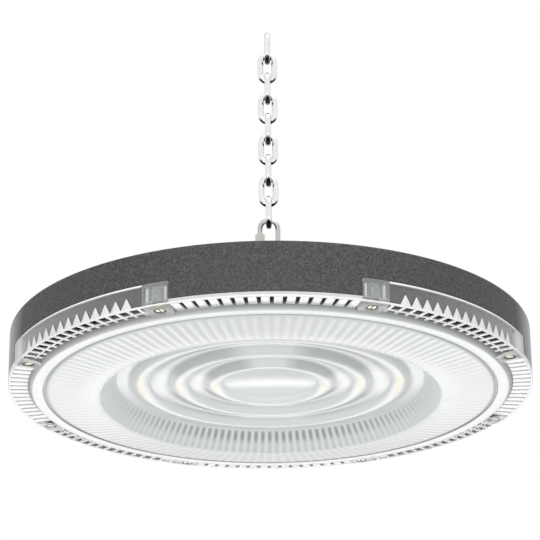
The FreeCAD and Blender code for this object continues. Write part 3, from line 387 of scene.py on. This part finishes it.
def plated_steel(dark, pale, grain=260.0):
    """Zinc-plated steel: cloudy, with small dull patches."""
    def draw(tree):
        clouds = tree.noise(grain, 4.0, 0.6)
        return {
            "Base Color": tree.mix(clouds, dark, pale),
            "Roughness": 0.1 + clouds * 0.12,
            "Normal": tree.bump(clouds, 0.12, 0.0002),
        }
    return draw


def bright_zinc(tree):
    """Bright zinc on the chain, with painted reflections: pale to the front, and painted dark at the edges
    and underneath.
    """
    clouds = tree.noise(340.0, 4.0, 0.6)
    # painted dark reflections: at the edges, where a face is seen at a slant, and underneath, where it looks
    # down
    edge = tree.ramp(tree.slant() + clouds * 0.15, (0.68, 0.0), (0.86, 1.0))
    below = tree.ramp(clouds * 0.3 - tree.upward(), (0.4, 0.0), (0.62, 1.0))
    pale = tree.mix(clouds, (0.72, 0.73, 0.74), (0.93, 0.94, 0.95))
    return {
        "Base Color": tree.mix(edge.larger(below), pale, (0.06, 0.062, 0.066)),
        "Roughness": 0.05 + clouds * 0.15,
        "Normal": tree.bump(clouds, 0.12, 0.0002),
    }


def moulded(dark, pale, smooth, rough, grain=700.0):
    """A moulded or painted part: fine grain between two shades and two roughnesses."""
    def draw(tree):
        fine = tree.noise(grain, 3.0)
        broad = tree.noise(grain / 30)
        return {
            "Base Color": tree.mix(broad * 0.6 + fine * 0.4, dark, pale),
            "Roughness": smooth + fine * (rough - smooth),
            "Normal": tree.bump(fine, 0.2, 0.0001),
        }
    return draw


def phosphor(tree):
    """An LED's yellow phosphor, faintly grained."""
    fine = tree.noise(2500.0)
    return {
        "Base Color": tree.mix(fine, (0.95, 0.72, 0.28), (1.0, 0.86, 0.5)),
        "Roughness": 0.25 + fine * 0.2,
    }


CLEAR = {"IOR": 1.49}
METAL = {"Metallic": 1.0}
DULL = {}
LOOKS = {
    "graphite_paint": (powder_coat, DULL),
    "clear_plastic": (clear_wall, CLEAR),
    # clear_rib, clear_peak and clear_rim: the second colour is painted at a slant, shade on ribs and peaks,
    # reflection on the tall rim
    "clear_rib": (clear_rib((0.93, 0.94, 0.935), (0.8, 0.815, 0.82)), CLEAR),
    "clear_peak": (clear_rib((0.97, 0.97, 0.97), (0.93, 0.94, 0.94)), CLEAR),
    "clear_lug": (clear_lug, CLEAR),
    "clear_rim": (clear_rib((0.62, 0.62, 0.65), (0.8, 0.81, 0.82)), CLEAR),
    "clear_optic": (clear_optic, CLEAR),
    "white_silicone": (moulded((0.78, 0.78, 0.76), (0.88, 0.88, 0.86), 0.5, 0.7), DULL),
    "black_rubber": (moulded((0.016, 0.016, 0.016), (0.035, 0.035, 0.036), 0.55, 0.8), DULL),
    "screw_steel": (plated_steel((0.2, 0.18, 0.14), (0.5, 0.46, 0.36), 900.0), METAL),
    "black_plastic": (moulded((0.018, 0.018, 0.019), (0.04, 0.04, 0.042), 0.35, 0.6), DULL),
    "white_plastic": (moulded((0.86, 0.87, 0.865), (0.92, 0.93, 0.925), 0.35, 0.5), DULL),
    "white_board": (moulded((0.85, 0.86, 0.85), (0.9, 0.91, 0.9), 0.3, 0.45), DULL),
    "thermal_pad": (moulded((0.3, 0.32, 0.36), (0.38, 0.4, 0.44), 0.6, 0.8), DULL),
    "led": (phosphor, DULL),
    "driver_case": (plated_steel((0.55, 0.55, 0.56), (0.7, 0.7, 0.71), 90.0), METAL),
    "terminal_plastic": (moulded((0.6, 0.6, 0.57), (0.7, 0.7, 0.67), 0.4, 0.6), DULL),
    "lead_sleeve": (moulded((0.4, 0.02, 0.02), (0.55, 0.04, 0.03), 0.35, 0.5), DULL),
    "zinc_steel": (plated_steel((0.42, 0.41, 0.39), (0.66, 0.65, 0.62)), METAL),
    "chain_steel": (bright_zinc, METAL),
}
FINISHES = {name: finish_of(name, draw, constants) for name, (draw, constants) in LOOKS.items()}


# ---------------------------------------------------------------- modelling helpers
def verts_of(geom):
    return [item for item in geom if isinstance(item, bmesh.types.BMVert)]


def edges_of(geom):
    return [item for item in geom if isinstance(item, bmesh.types.BMEdge)]


def finish_piece(bm, name, node, finish=None, sharp=35.0):
    """Turn a bmesh into a shown piece that stands for a node: smooth, dressed and riding on its body."""
    bmesh.ops.remove_doubles(bm, verts=bm.verts, dist=1e-6)
    bmesh.ops.recalc_face_normals(bm, faces=bm.faces)
    for face in bm.faces:
        face.smooth = True
    for edge in bm.edges:
        edge.smooth = len(edge.link_faces) == 2 and edge.calc_face_angle() < math.radians(sharp)
    mesh = bpy.data.meshes.new(name)
    bm.to_mesh(mesh)
    bm.free()
    piece = bpy.data.objects.new(name, mesh)
    bpy.context.scene.collection.objects.link(piece)
    mesh.materials.append(FINISHES[finish or SLOT_OF[node]])
    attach(piece, BODY_OF[node])
    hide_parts(node)


def smooth_copy(node):
    """A stored node's mesh, welded and smooth-shaded, standing for that node."""
    bm = bmesh.new()
    bm.from_mesh(NODES[node].data)
    finish_piece(bm, node + "_smooth", node)


def rounded(corners, segments=4):
    """A line of (radius, height) points from corners, where a third item is a corner's rounding."""
    line = []
    for index, corner in enumerate(corners):
        here = Vector(corner[:2])
        if len(corner) == 2 or index in (0, len(corners) - 1):
            line.append(here)
            continue
        back = (Vector(corners[index - 1][:2]) - here).normalized()
        on = (Vector(corners[index + 1][:2]) - here).normalized()
        half_turn = back.angle(on) / 2
        reach = corner[2] / math.tan(half_turn)
        centre = here + (back + on).normalized() * corner[2] / math.sin(half_turn)
        first = (here + back * reach - centre).normalized()
        second = (here + on * reach - centre).normalized()
        for step in range(segments + 1):
            line.append(centre + first.slerp(second, step / segments) * corner[2])
    return line


def arch(radius, half, drop, level, steps, inward=True):
    """A shallow arc below a level, across one ring lens."""
    turn = (drop ** 2 + half ** 2) / (2 * drop)
    reach = math.asin(half / turn)
    points = []
    for step in range(steps + 1):
        angle = reach * (2 * step / steps - 1)
        side = -math.sin(angle) if inward else math.sin(angle)
        points.append(Vector((radius + turn * side, level - drop + turn * (1 - math.cos(angle)))))
    return points


def turned(section, steps):
    """A form turned around the lamp's axis from a closed section of (radius, height) points."""
    bm = bmesh.new()
    verts = [bm.verts.new((point[0], 0, RIM_PLANE + point[1])) for point in section]
    edges = [bm.edges.new(pair) for pair in zip(verts, verts[1:] + verts[:1])]
    bmesh.ops.spin(bm, geom=verts + edges, cent=(0, 0, 0), axis=(0, 0, 1), angle=2 * math.pi,
                   steps=steps, use_merge=True)
    bmesh.ops.remove_doubles(bm, verts=bm.verts, dist=1e-6)
    return bm


def around(bm, count, first=0.0, skip=None, arc=2 * math.pi):
    """Repeat a bmesh's form around the lamp's axis, in place, evenly over an arc."""
    form = bm.verts[:] + bm.edges[:] + bm.faces[:]
    step = arc / count
    for index in range(count):
        if skip and skip(index):
            continue
        verts = verts_of(bmesh.ops.duplicate(bm, geom=form)["geom"])
        turn = Matrix.Rotation(first + index * step, 3, "Z")
        bmesh.ops.rotate(bm, verts=verts, cent=(0, 0, 0), matrix=turn)
    bmesh.ops.delete(bm, geom=form, context="VERTS")


def in_sectors(section, first):
    """Solid stretches of a ring from lug to lug, in every second sector from the first angle on."""
    bm = bmesh.new()
    verts = [bm.verts.new((point[0], 0, RIM_PLANE + point[1])) for point in section]
    face = bm.faces.new(verts)
    bmesh.ops.rotate(bm, verts=verts, cent=(0, 0, 0), matrix=Matrix.Rotation(first + LUG_REACH, 3, "Z"))
    bmesh.ops.spin(bm, geom=verts + face.edges[:] + [face], cent=(0, 0, 0), axis=(0, 0, 1),
                   angle=STEP - 2 * LUG_REACH, steps=34)
    around(bm, SECTORS // 2)
    return bm


def stick(size, place, softness):
    """A block with softened edges, as a bmesh."""
    bm = bmesh.new()
    bmesh.ops.create_cube(bm, size=1)
    bmesh.ops.scale(bm, vec=size, verts=bm.verts)
    bmesh.ops.bevel(bm, geom=bm.edges[:], offset=softness, offset_type="OFFSET", segments=1,
                    profile=0.5, affect="EDGES", material=-1)
    bmesh.ops.translate(bm, vec=place, verts=bm.verts)
    return bm


# ---------------------------------------------------------------- clear cover
def optic_underside():
    """The optic's outside, from the neck inwards: flange, groove, fluted ring, knee, floor, ring lenses."""
    line = rounded([
        (NECK_RADIUS, FOOT_Z),
        (FLANGE_OUTER, FLANGE_Z, 0.0006),
        (GROOVE_OUTER, FLANGE_Z, 0.0002),
        (GROOVE_OUTER - 0.0004, FLANGE_Z + GROOVE_DEPTH, 0.0002),
        (FLUTE_OUTER + 0.001, FLANGE_Z + GROOVE_DEPTH, 0.0002),
        (FLUTE_OUTER, FLANGE_Z),
    ], 2)
    fall = FLUTE_LOW_Z - FLANGE_Z
    for share in (0.03, 0.07, 0.2, 0.4, 0.6, 0.8):
        line.append(Vector((FLUTE_OUTER + (FLUTE_INNER - FLUTE_OUTER) * share, FLANGE_Z + fall * share)))
    line += rounded([
        (FLUTE_INNER, FLUTE_LOW_Z),
        (KNEE_RADIUS, FLUTE_LOW_Z - 0.0001, 0.0032),
        (0.1045, 0.0052),
        (WELL_RADIUS, FLOOR_Z, 0.0012),
        (0.098, FLOOR_Z),
    ], 6)
    for radius in RING_LENSES:
        line += arch(radius, LENS_HALF, LENS_DROP, FLOOR_Z, 12)
    line.append(Vector((0.0, FLOOR_Z)))
    return line


def optic_inside():
    """The optic's inside, from the axis outwards to the top of the neck."""
    roof = FLOOR_Z + COVER_THICK
    line = [Vector((0.0, roof))]
    for radius in reversed(RING_LENSES):
        line += arch(radius, LENS_HALF - 0.0014, LENS_DROP - 0.0008, roof, 8, inward=False)
    line += rounded([
        (0.0995, roof),
        (0.1042, roof, 0.002),
        (0.1152, FLUTE_LOW_Z + 0.0014, 0.003),
        (FLUTE_OUTER, FLANGE_Z + COVER_THICK),
        (FLANGE_OUTER - 0.0015, FLANGE_Z + COVER_THICK),
        (NECK_RADIUS - NECK_WALL, FOOT_Z + 0.0015, 0.0006),
        (NECK_RADIUS - NECK_WALL, NECK_TOP_Z),
        (NECK_RADIUS, NECK_TOP_Z),
        (NECK_RADIUS, 0.001),
    ])
    return line


def on_underside(radius, height):
    """Whether a point of the fluted ring or the steep wall is on the outside."""
    if radius > FLUTE_INNER:
        share = (FLUTE_OUTER - radius) / (FLUTE_OUTER - FLUTE_INNER)
        return height < FLANGE_Z + (FLUTE_LOW_Z - FLANGE_Z) * share + 0.0008
    share = (radius - WELL_RADIUS) / (KNEE_RADIUS - WELL_RADIUS)
    return height < FLOOR_Z + (FLUTE_LOW_Z - FLOOR_Z) * share + 0.0016


def raise_flutes(bm):
    """Raise a flute along each pitch of the fluted ring and the steep wall, fading out at both ends."""
    for vert in bm.verts:
        radius = math.hypot(vert.co.x, vert.co.y)
        outer_fade = min(max((FLUTE_OUTER - radius) / 0.001, 0), 1)
        inner_fade = min(max((radius - WELL_RADIUS - 0.001) / 0.004, 0), 1)
        fade = outer_fade * inner_fade
        if fade > 0 and on_underside(radius, vert.co.z - RIM_PLANE):
            crest = 1 + math.cos(FIN_COUNT * math.atan2(vert.co.y, vert.co.x))
            vert.co.z -= FLUTE_DEPTH * fade * crest
            if radius < FLUTE_INNER - 0.006:
                vert.co.xy *= 1 - 1.5 * FLUTE_DEPTH * fade * crest / radius


def cover_optic():
    """The optic, all one shell, with its flutes."""
    bm = turned(optic_underside() + optic_inside(), FIN_COUNT * 4)
    raise_flutes(bm)
    finish_piece(bm, "cover_optic", "lens_cover", "clear_optic", 50.0)


def cover_rim():
    """The cover's outer rim: a low ring all round, which stands taller where there is no skirt."""
    low = turned(rounded([
        (RIM_INNER, -0.0001),
        (RIM_INNER, RIM_SEAM_Z, 0.0001),
        (RIM_RADIUS, RIM_SEAM_Z, 0.0001),
        (RIM_RADIUS, FOOT_Z, 0.0006),
        (RIM_INNER, FOOT_Z, 0.0004),
        (RIM_INNER, -0.0002),
    ]), FIN_COUNT * 2)
    finish_piece(low, "cover_rim", "lens_cover", "clear_rib")
    soft = 0.0004
    tall = in_sectors([
        (RIM_INNER, RIM_SEAM_Z), (RIM_RADIUS, RIM_SEAM_Z), (RIM_RADIUS, RIM_TOP_Z - soft),
        (RIM_RADIUS - soft, RIM_TOP_Z), (RIM_INNER, RIM_TOP_Z),
    ], OPEN_START)
    finish_piece(tall, "cover_tall_rim", "lens_cover", "clear_rim")


def cover_skirts():
    """Thin clear skirts that stand up from the rim in four sectors, each with a bead along its top."""
    soft = 0.0003
    bead_foot = SKIRT_TOP_Z - BEAD_HEIGHT
    outside = RIM_RADIUS - 0.0001
    wall = in_sectors([
        (SKIRT_INNER, RIM_SEAM_Z), (outside, RIM_SEAM_Z), (outside, bead_foot), (SKIRT_INNER, bead_foot),
    ], SKIRT_START)
    finish_piece(wall, "cover_skirts", "lens_cover")
    bead = in_sectors([
        (SKIRT_INNER, bead_foot), (RIM_RADIUS, bead_foot), (RIM_RADIUS, SKIRT_TOP_Z - soft),
        (RIM_RADIUS - soft, SKIRT_TOP_Z), (SKIRT_INNER, SKIRT_TOP_Z),
    ], SKIRT_START)
    finish_piece(bead, "cover_beads", "lens_cover", "clear_rib")


def cover_peaks():
    """Pointed ribs in the skirts' walls, one before each vent of the band."""
    bm = bmesh.new()
    low = RIM_SEAM_Z + 0.0001
    bmesh.ops.create_cone(bm, cap_ends=True, segments=4, radius1=PEAK_HALF, radius2=0.0004,
                          depth=PEAK_TOP_Z - low)
    bmesh.ops.scale(bm, vec=(PEAK_FLATNESS, 1, 1), verts=bm.verts)
    bmesh.ops.translate(bm, vec=(PEAK_CIRCLE, 0, RIM_PLANE + (low + PEAK_TOP_Z) / 2), verts=bm.verts)
    around(bm, PEAKS, STEP - (PEAKS - 1) / 2 * PITCH, arc=PITCH * PEAKS)
    around(bm, SECTORS // 2)
    finish_piece(bm, "cover_peaks", "lens_cover", "clear_peak", 10.0)


def near_lug(index):
    """Whether a fin pitch falls on one of the eight screw lugs."""
    return abs(index * PITCH % STEP - STEP / 2) < LUG_REACH


def under_skirt(index):
    """Whether a fin pitch lies in one of the four sectors that have a skirt."""
    return (index * SECTORS / FIN_COUNT + 0.5) % 2 > 1


def grille_bars(name, width, wanted):
    """The grille's bars at the fin pitches that a test wants."""
    length = RIM_INNER + 0.0004 - NECK_RADIUS
    middle = (RIM_INNER + NECK_RADIUS) / 2
    place = (middle, 0, RIM_PLANE + FOOT_Z + BAR_HEIGHT / 2)
    bm = stick((length, width, BAR_HEIGHT), place, 0.0002)
    around(bm, FIN_COUNT, skip=lambda index: near_lug(index) or not wanted(index))
    finish_piece(bm, name, "lens_cover", "clear_rib")


def cover_grille():
    """The grille over the vents: slim bars with a tie ring under the skirts, broad bars elsewhere."""
    grille_bars("cover_slim_bars", SLIM_BAR, under_skirt)
    grille_bars("cover_broad_bars", BROAD_BAR, lambda index: not under_skirt(index))
    outer, top = TIE_RADIUS + TIE_SIZE, FOOT_Z + TIE_SIZE
    tie = in_sectors([(TIE_RADIUS, FOOT_Z), (outer, FOOT_Z), (outer, top), (TIE_RADIUS, top)], SKIRT_START)
    finish_piece(tie, "cover_tie", "lens_cover", "clear_rib")


def lug_underside(x):
    """Height of a lug's slanted underside."""
    return FOOT_Z - LUG_FALL * (LUG_OUTER - x) / LUG_LENGTH


def circle_of_edges(bm, radius, height):
    """A ring of edges around a lug's screw."""
    verts = bmesh.ops.create_circle(bm, segments=24, radius=radius, cap_ends=False)["verts"]
    bmesh.ops.translate(bm, vec=(SCREW_CIRCLE, 0, height), verts=verts)
    return list(dict.fromkeys(edge for vert in verts for edge in vert.link_edges))


def lug_foot(bm):
    """A lug's tongue-shaped foot, without its top: gives the edges of the top and of the screw's hole."""
    outline = [(LUG_CORNER, -LUG_HALF), (RIM_RADIUS, 0), (LUG_CORNER, LUG_HALF)]
    for step in range(13):
        angle = math.pi / 2 + math.pi * step / 12
        outline.append((LUG_CENTRE + LUG_HALF * math.cos(angle), LUG_HALF * math.sin(angle)))
    verts = [bm.verts.new((x, y, lug_underside(x))) for x, y in outline]
    rim = [bm.edges.new(pair) for pair in zip(verts, verts[1:] + verts[:1])]
    hole = circle_of_edges(bm, RECESS_RADIUS, lug_underside(SCREW_CIRCLE))
    bmesh.ops.triangle_fill(bm, edges=rim + hole, use_beauty=True)
    sides = bmesh.ops.extrude_edge_only(bm, edges=rim)["geom"]
    for vert in verts_of(sides):
        vert.co.z = BAND_FOOT_Z if vert.co.x > NECK_RADIUS else -0.001
    return edges_of(sides), hole


def lug_post(bm, ring):
    """Recess, bore and post, one ring of edges after another from the hole: gives the post's foot."""
    for radius, height in (
        (RECESS_RADIUS, RECESS_TOP_Z),
        (BORE_RADIUS, RECESS_TOP_Z),
        (BORE_RADIUS, POST_TOP_Z),
        (POST_RADIUS, POST_TOP_Z),
        (POST_RADIUS + 0.0004, BAND_FOOT_Z),
    ):
        grown = bmesh.ops.extrude_edge_only(bm, edges=ring)["geom"]
        for vert in verts_of(grown):
            arm = Vector((vert.co.x - SCREW_CIRCLE, vert.co.y)).normalized() * radius
            vert.co = (SCREW_CIRCLE + arm.x, arm.y, height)
        ring = edges_of(grown)
    return ring


def lug_walls(bm):
    """Three thin walls that stand on a lug's foot around its post."""
    neck = NECK_RADIUS + 0.0001
    inner = RIM_RADIUS - LUG_WALL
    inside = LUG_HALF - LUG_WALL
    plan = [
        (neck, -LUG_HALF), (LUG_CORNER, -LUG_HALF), (RIM_RADIUS, 0), (LUG_CORNER, LUG_HALF),
        (neck, LUG_HALF), (neck, inside), (inner, inside), (inner, -inside), (neck, -inside),
    ]
    foot = bm.faces.new([bm.verts.new((x, y, BAND_FOOT_Z)) for x, y in plan])
    raised = bmesh.ops.extrude_face_region(bm, geom=[foot])["geom"]
    bmesh.ops.translate(bm, vec=(0, 0, SKIRT_TOP_Z - BAND_FOOT_Z), verts=verts_of(raised))


def cover_lugs():
    """Screw lugs: a tongue-shaped foot with a recess, a tall post and three thin walls around it."""
    bm = bmesh.new()
    top, hole = lug_foot(bm)
    post = lug_post(bm, hole)
    bmesh.ops.triangle_fill(bm, edges=top + post, use_beauty=True)
    lug_walls(bm)
    bmesh.ops.translate(bm, vec=(0, 0, RIM_PLANE), verts=bm.verts)
    around(bm, SECTORS, STEP / 2)
    finish_piece(bm, "cover_lugs", "lens_cover", "clear_lug")


def lug_ribs():
    """Two upright ribs beside the post in each lug."""
    bm = stick(LUG_RIB, (0.1724, -LUG_RIB_ASIDE, RIM_PLANE + 0.0073), 0.0002)
    rib = bm.verts[:] + bm.edges[:] + bm.faces[:]
    second = verts_of(bmesh.ops.duplicate(bm, geom=rib)["geom"])
    bmesh.ops.translate(bm, vec=(0, 2 * LUG_RIB_ASIDE, 0), verts=second)
    around(bm, SECTORS, STEP / 2)
    finish_piece(bm, "lug_ribs", "lens_cover", "clear_rib")


# ---------------------------------------------------------------- assembly
def dress_nodes():
    """Give every stored node its finish, and a welded, smooth-shaded stand-in where it has curves."""
    without_copy = {"leds_outer", "leds_middle", "leds_inner", "quick_link_nut", "lens_cover"}
    for node, piece in NODES.items():
        piece.data.materials.clear()
        piece.data.materials.append(FINISHES[SLOT_OF[node]])
        if node not in without_copy:
            smooth_copy(node)


def set_surroundings():
    """Surroundings that are white to look at, and light the lamp less strongly than that."""
    world = bpy.data.worlds.new("surroundings")
    bpy.context.scene.world = world
    tree = NodeTree(world)
    rays = tree.node("ShaderNodeLightPath")
    seen = rays.beside("Is Camera Ray")
    for kind in ("Is Glossy Ray", "Is Transmission Ray"):
        seen = seen.larger(rays.beside(kind))
    ambient = 0.63
    strength = ambient + seen * (1 - ambient)
    background = tree.node("ShaderNodeBackground", {}, {"Color": (1, 1, 1, 1), "Strength": strength})
    tree.node("ShaderNodeOutputWorld", {}, {"Surface": background})


def set_floor():
    """A plain pale floor, far below."""
    bm = bmesh.new()
    bmesh.ops.create_grid(bm, x_segments=1, y_segments=1, size=20)
    bmesh.ops.translate(bm, vec=(0, 0, -4), verts=bm.verts)
    mesh = bpy.data.meshes.new("floor")
    bm.to_mesh(mesh)
    bm.free()
    floor = bpy.data.objects.new("floor", mesh)
    bpy.context.scene.collection.objects.link(floor)
    mesh.materials.append(finish_of("floor", moulded((0.86, 0.86, 0.86), (0.9, 0.9, 0.9), 0.6, 0.8, 60.0)))


def set_lamps():
    """Soft lamps at a plain level, all aimed at the middle of the rim."""
    lamps = (
        ("front", (-0.2, -1.9, -0.3), (0.9, 0.5), 8.0),
        ("front_left", (-1.1, -1.5, -1.1), (1.0, 0.7), 10.0),
        ("front_right", (1.2, -1.3, -0.9), (0.8, 0.8), 7.0),
        ("behind", (0.0, 1.6, -1.0), (1.2, 0.6), 6.0),
        ("above", (0.3, -0.6, 1.3), (1.4, 1.4), 10.0),
    )
    for name, place, size, power in lamps:
        lamp = bpy.data.lights.new(name, "AREA")
        lamp.shape = "RECTANGLE"
        lamp.size, lamp.size_y = size
        lamp.energy = power
        holder = bpy.data.objects.new(name, lamp)
        holder.location = place
        aim = Vector((0, 0, RIM_PLANE)) - Vector(place)
        holder.rotation_euler = aim.to_track_quat("-Z", "Y").to_euler()
        bpy.context.scene.collection.objects.link(holder)


def set_camera():
    """Below the lamp and looking up at it, from the front."""
    distance, below, turned_by = 1.4597, math.radians(19.115), math.radians(0.86)
    pitch, roll = math.radians(22.3), math.radians(-0.56)
    place = Vector((
        distance * math.cos(below) * math.sin(turned_by),
        -distance * math.cos(below) * math.cos(turned_by),
        RIM_PLANE - distance * math.sin(below),
    ))
    turn = Matrix.Rotation(turned_by, 3, "Z")
    right, up = turn @ Vector((1, 0, 0)), turn @ Vector((0, -math.sin(pitch), math.cos(pitch)))
    ahead = turn @ Vector((0, math.cos(pitch), math.sin(pitch)))
    across = right * math.cos(roll) + up * math.sin(roll)
    upward = up * math.cos(roll) - right * math.sin(roll)
    data = bpy.data.cameras.new("camera")
    data.sensor_width = 36
    data.lens = 144.8
    data.shift_x = 0.0013
    data.clip_end = 50
    camera = bpy.data.objects.new("camera", data)
    camera.matrix_world = Matrix((across, upward, -ahead)).transposed().to_4x4()
    camera.location = place
    bpy.context.scene.collection.objects.link(camera)
    bpy.context.scene.camera = camera


set_surroundings()
set_floor()
set_lamps()
set_camera()
dress_nodes()
cover_optic()
cover_rim()
cover_skirts()
cover_peaks()
cover_grille()
cover_lugs()
lug_ribs()
bpy.context.scene.view_settings.view_transform = "Standard"
